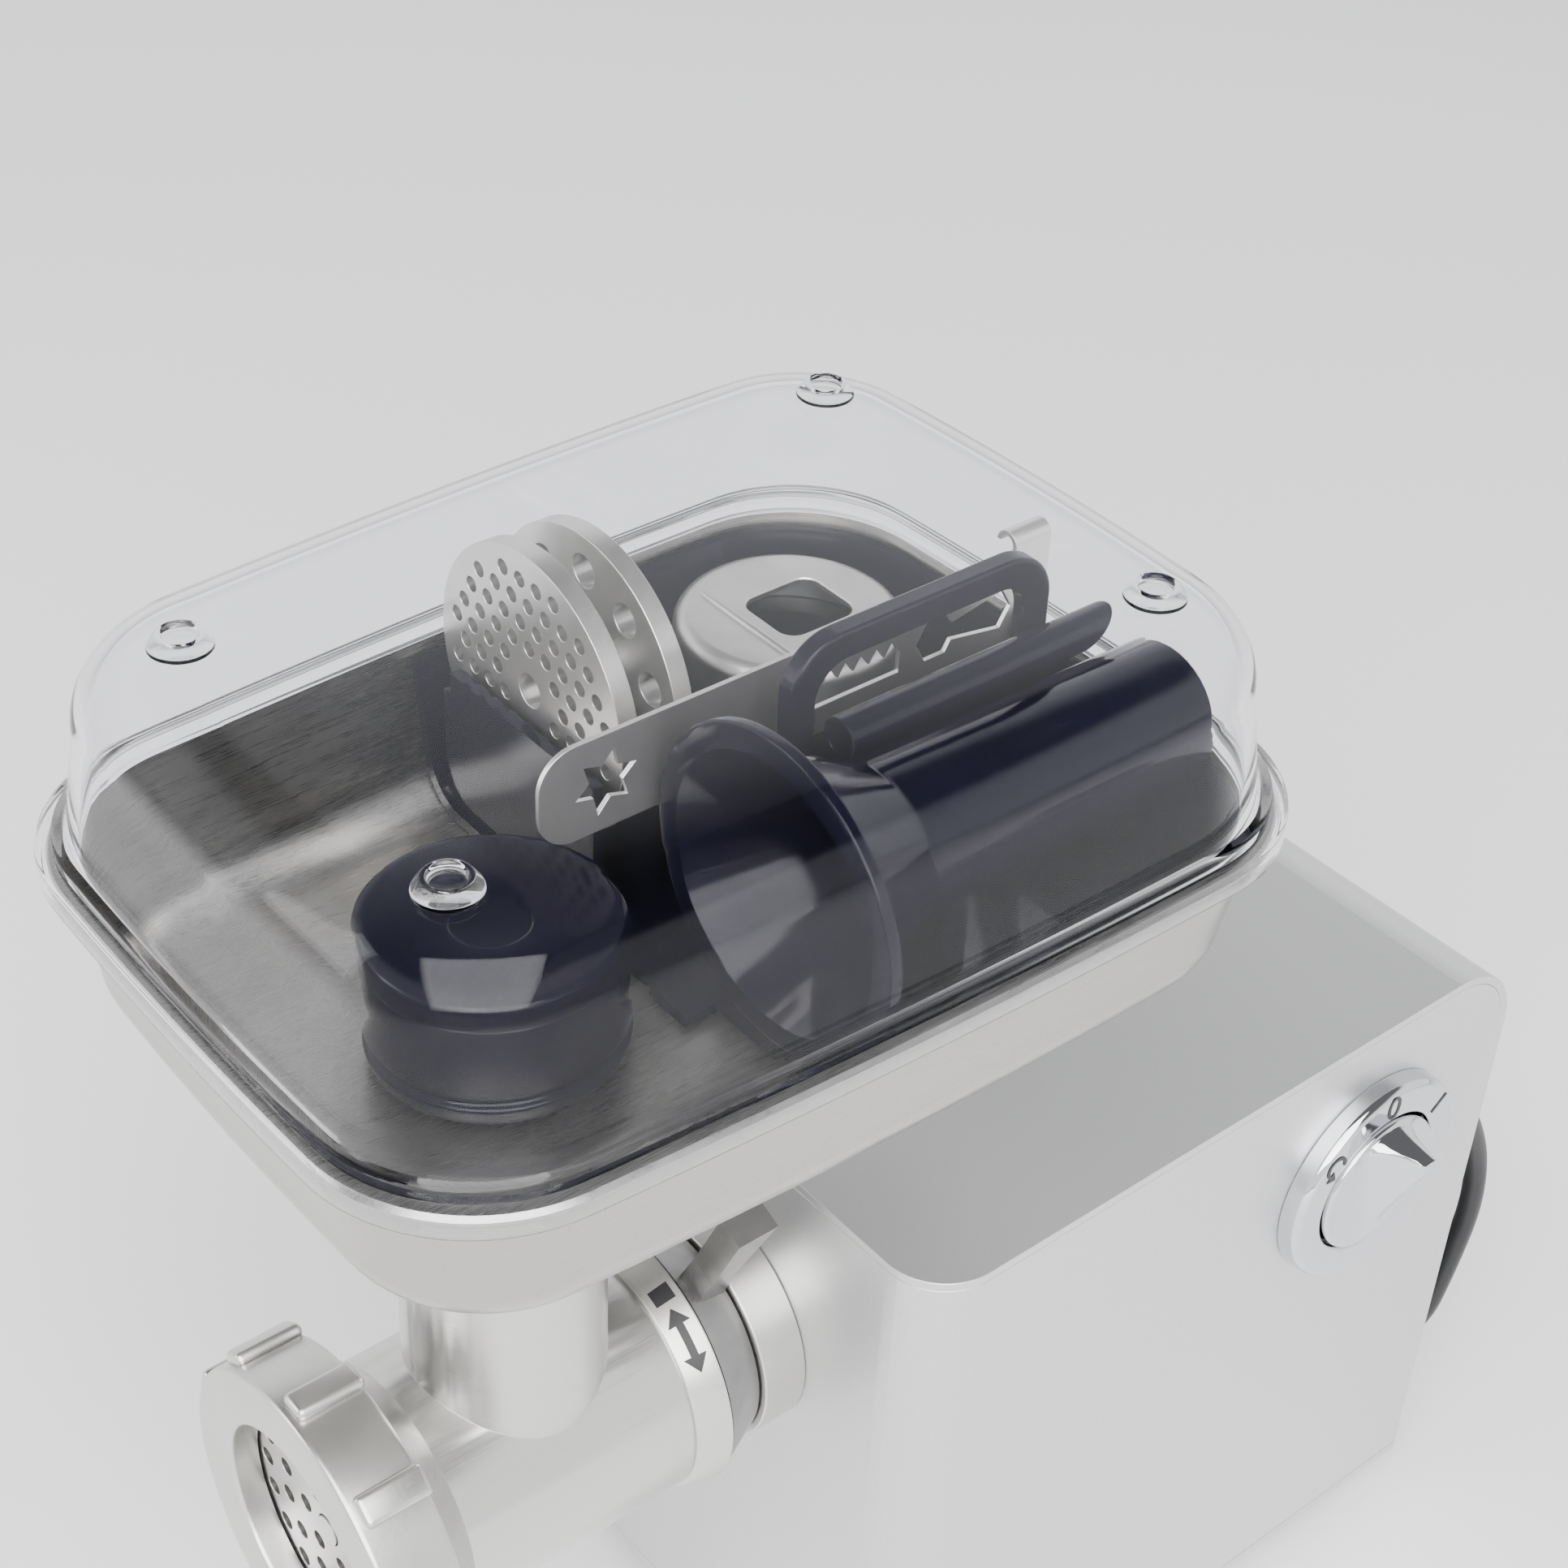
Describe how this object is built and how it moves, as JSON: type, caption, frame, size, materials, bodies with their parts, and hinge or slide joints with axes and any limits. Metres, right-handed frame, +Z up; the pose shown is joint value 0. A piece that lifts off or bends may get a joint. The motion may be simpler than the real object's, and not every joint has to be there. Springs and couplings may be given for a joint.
{
  "type": "electric meat grinder",
  "caption": "Electric meat grinder with a steel feed tray, a clear lid over stored plates and stuffing tubes, a side switch dial and a mains lead.",
  "frame": {"origin": "centre of the grinder's bounding box in plan, on the surface that the feet stand on, without the cord", "axes": "+X from the grinding head towards the rear of the motor housing, -Y towards the switch dial, +Z up"},
  "size_m": [0.4641, 0.266, 0.3774],
  "materials": {
    "painted_silver": "satin silver, fine metallic",
    "rubber": "moulded matt",
    "zinc_steel": "zinc plated",
    "brushed_metal": "turned and brushed",
    "lever_metal": "satin dark grey",
    "cast_metal": "satin cast",
    "gear_nylon": "moulded nylon",
    "gear_steel": "ground steel",
    "bronze": "sintered bronze",
    "laminated_iron": "varnished laminations",
    "copper": "enamelled copper",
    "brush_carbon": "pressed carbon",
    "brush_brass": "pressed brass",
    "saddle_plastic": "moulded",
    "circuit_board": "varnished laminate",
    "chrome": "polished chrome plate",
    "plate_steel": "ground stainless",
    "brushed_stainless": "brushed stainless",
    "satin_cap_steel": "satin pressed steel",
    "clear_plastic": "clear moulded plastic",
    "dark_plastic": "gloss dark navy",
    "cord_rubber": "flexible PVC",
    "pin_brass": "nickelled brass"
  },
  "bodies": {
    "housing": {"body_wrap": "painted_silver", "top_rear_panel": "painted_silver", "base_plate": "painted_silver", "rubber_feet": "rubber", "foot_screws": "zinc_steel", "front_collar": "brushed_metal", "idler_shafts": "gear_steel", "gear_case": "cast_metal", "gear_case_cover": "cast_metal", "shaft_bushes": "bronze", "case_screws": "zinc_steel", "motor_stator": "laminated_iron", "field_windings": "copper", "front_rotor_bearing": "gear_steel", "rear_motor_bracket": "zinc_steel", "rear_rotor_bearing": "gear_steel", "front_motor_bracket": "zinc_steel", "motor_bolts": "zinc_steel", "brush_holders": "brush_brass", "carbon_brushes": "brush_carbon", "motor_saddle": "saddle_plastic", "control_board": "circuit_board", "switch_body": "saddle_plastic", "dial_bezel": "chrome", "cord_gland": "cord_rubber", "cord_hanging": "cord_rubber", "cord_coil": "cord_rubber", "cord_lead": "cord_rubber", "mains_plug": "cord_rubber", "plug_pins": "pin_brass"},
    "rotor": {"rotor_shaft": "gear_steel", "rotor_core": "laminated_iron", "commutator": "copper", "cooling_fan": "gear_nylon", "motor_pinion": "gear_steel"},
    "first_idler": {"first_idler_gear": "gear_nylon"},
    "second_idler": {"second_idler_gear": "gear_nylon"},
    "drive": {"output_gear": "gear_steel", "output_shaft": "gear_steel"},
    "lock": {"lock_ring": "lever_metal"},
    "dial": {"dial_knob": "chrome", "switch_spindle": "saddle_plastic"},
    "head": {"head_casting": "cast_metal", "marked_ring": "brushed_metal", "medium_plate": "plate_steel"},
    "nut": {"ring_nut": "cast_metal"},
    "auger": {"auger": "cast_metal", "knife": "gear_steel"},
    "tray": {"tray": "brushed_stainless"},
    "lid": {"clear_lid": "clear_plastic"},
    "pusher": {"pusher_cap": "dark_plastic", "pusher_stem": "dark_plastic"},
    "rack": {"accessory_rack": "dark_plastic", "rack_arch": "dark_plastic"},
    "fine_plate": {"fine_plate": "plate_steel"},
    "coarse_plate": {"coarse_plate": "plate_steel"},
    "cookie_disc": {"cookie_disc": "satin_cap_steel"},
    "cookie_strip": {"cookie_strip": "brushed_stainless"},
    "large_tube": {"large_stuffing_tube": "dark_plastic"},
    "slim_tube": {"slim_stuffing_tube": "dark_plastic"}
  },
  "joints": [
    {"name": "rotor_spin", "type": "hinge", "parent": "housing", "child": "rotor", "pos_m": [-0.05655, -0.00431, 0.06678], "axis": [1, 0, 0], "continuous": true},
    {"name": "first_idler_spin", "type": "hinge", "parent": "housing", "child": "first_idler", "pos_m": [-0.05655, -0.01218, 0.10089], "axis": [1, 0, 0], "continuous": true},
    {"name": "second_idler_spin", "type": "hinge", "parent": "housing", "child": "second_idler", "pos_m": [-0.05655, 0.02349, 0.11603], "axis": [1, 0, 0], "continuous": true},
    {"name": "drive_spin", "type": "hinge", "parent": "housing", "child": "drive", "pos_m": [-0.05655, 0.00099, 0.155], "axis": [1, 0, 0], "continuous": true},
    {"name": "lock_turn", "type": "hinge", "parent": "housing", "child": "lock", "pos_m": [-0.05655, 0.00099, 0.155], "axis": [1, 0, 0], "range_deg": [0, 35]},
    {"name": "dial_turn", "type": "hinge", "parent": "housing", "child": "dial", "pos_m": [0.12345, -0.07301, 0.167], "axis": [0, -1, 0], "range_deg": [-50, 50]},
    {"name": "head_slide", "type": "slide", "parent": "housing", "child": "head", "axis": [-1, 0, 0], "range_m": [0, 0.03]},
    {"name": "nut_turn", "type": "hinge", "parent": "head", "child": "nut", "pos_m": [-0.05655, 0.00099, 0.155], "axis": [-1, 0, 0], "range_deg": [0, 330]},
    {"name": "auger_spin", "type": "hinge", "parent": "head", "child": "auger", "pos_m": [-0.05655, 0.00099, 0.155], "axis": [1, 0, 0], "continuous": true},
    {"name": "tray_lift", "type": "slide", "parent": "head", "child": "tray", "axis": [0, 0, 1], "range_m": [0, 0.08]},
    {"name": "lid_lift", "type": "slide", "parent": "tray", "child": "lid", "axis": [0, 0, 1], "range_m": [0, 0.25]},
    {"name": "pusher_lift", "type": "slide", "parent": "tray", "child": "pusher", "axis": [0, 0, 1], "range_m": [0, 0.125]},
    {"name": "rack_lift", "type": "slide", "parent": "tray", "child": "rack", "axis": [0, 0, 1], "range_m": [0, 0.03]},
    {"name": "fine_plate_lift", "type": "slide", "parent": "rack", "child": "fine_plate", "axis": [0, 0, 1], "range_m": [0, 0.09]},
    {"name": "coarse_plate_lift", "type": "slide", "parent": "rack", "child": "coarse_plate", "axis": [0, 0, 1], "range_m": [0, 0.06]},
    {"name": "cookie_disc_lift", "type": "slide", "parent": "rack", "child": "cookie_disc", "axis": [0, 0, 1], "range_m": [0, 0.075]},
    {"name": "cookie_strip_lift", "type": "slide", "parent": "rack", "child": "cookie_strip", "axis": [0, 0, 1], "range_m": [0, 0.15]},
    {"name": "large_tube_lift", "type": "slide", "parent": "rack", "child": "large_tube", "axis": [0, 0, 1], "range_m": [0, 0.05]},
    {"name": "slim_tube_lift", "type": "slide", "parent": "rack", "child": "slim_tube", "axis": [0, 0, 1], "range_m": [0, 0.11]}
  ],
  "couplings": [
    {"joint": "first_idler_spin", "follows": "rotor_spin", "ratio": -0.25},
    {"joint": "second_idler_spin", "follows": "rotor_spin", "ratio": 0.072917},
    {"joint": "drive_spin", "follows": "rotor_spin", "ratio": -0.026515},
    {"joint": "auger_spin", "follows": "rotor_spin", "ratio": -0.026515},
    {"joint": "pusher_lift", "follows": "lid_lift", "ratio": 0.5},
    {"joint": "rack_lift", "follows": "lid_lift", "ratio": 0.12},
    {"joint": "fine_plate_lift", "follows": "lid_lift", "ratio": 0.36},
    {"joint": "coarse_plate_lift", "follows": "lid_lift", "ratio": 0.24},
    {"joint": "cookie_disc_lift", "follows": "lid_lift", "ratio": 0.3},
    {"joint": "cookie_strip_lift", "follows": "lid_lift", "ratio": 0.6},
    {"joint": "large_tube_lift", "follows": "lid_lift", "ratio": 0.2},
    {"joint": "slim_tube_lift", "follows": "lid_lift", "ratio": 0.44}
  ]
}
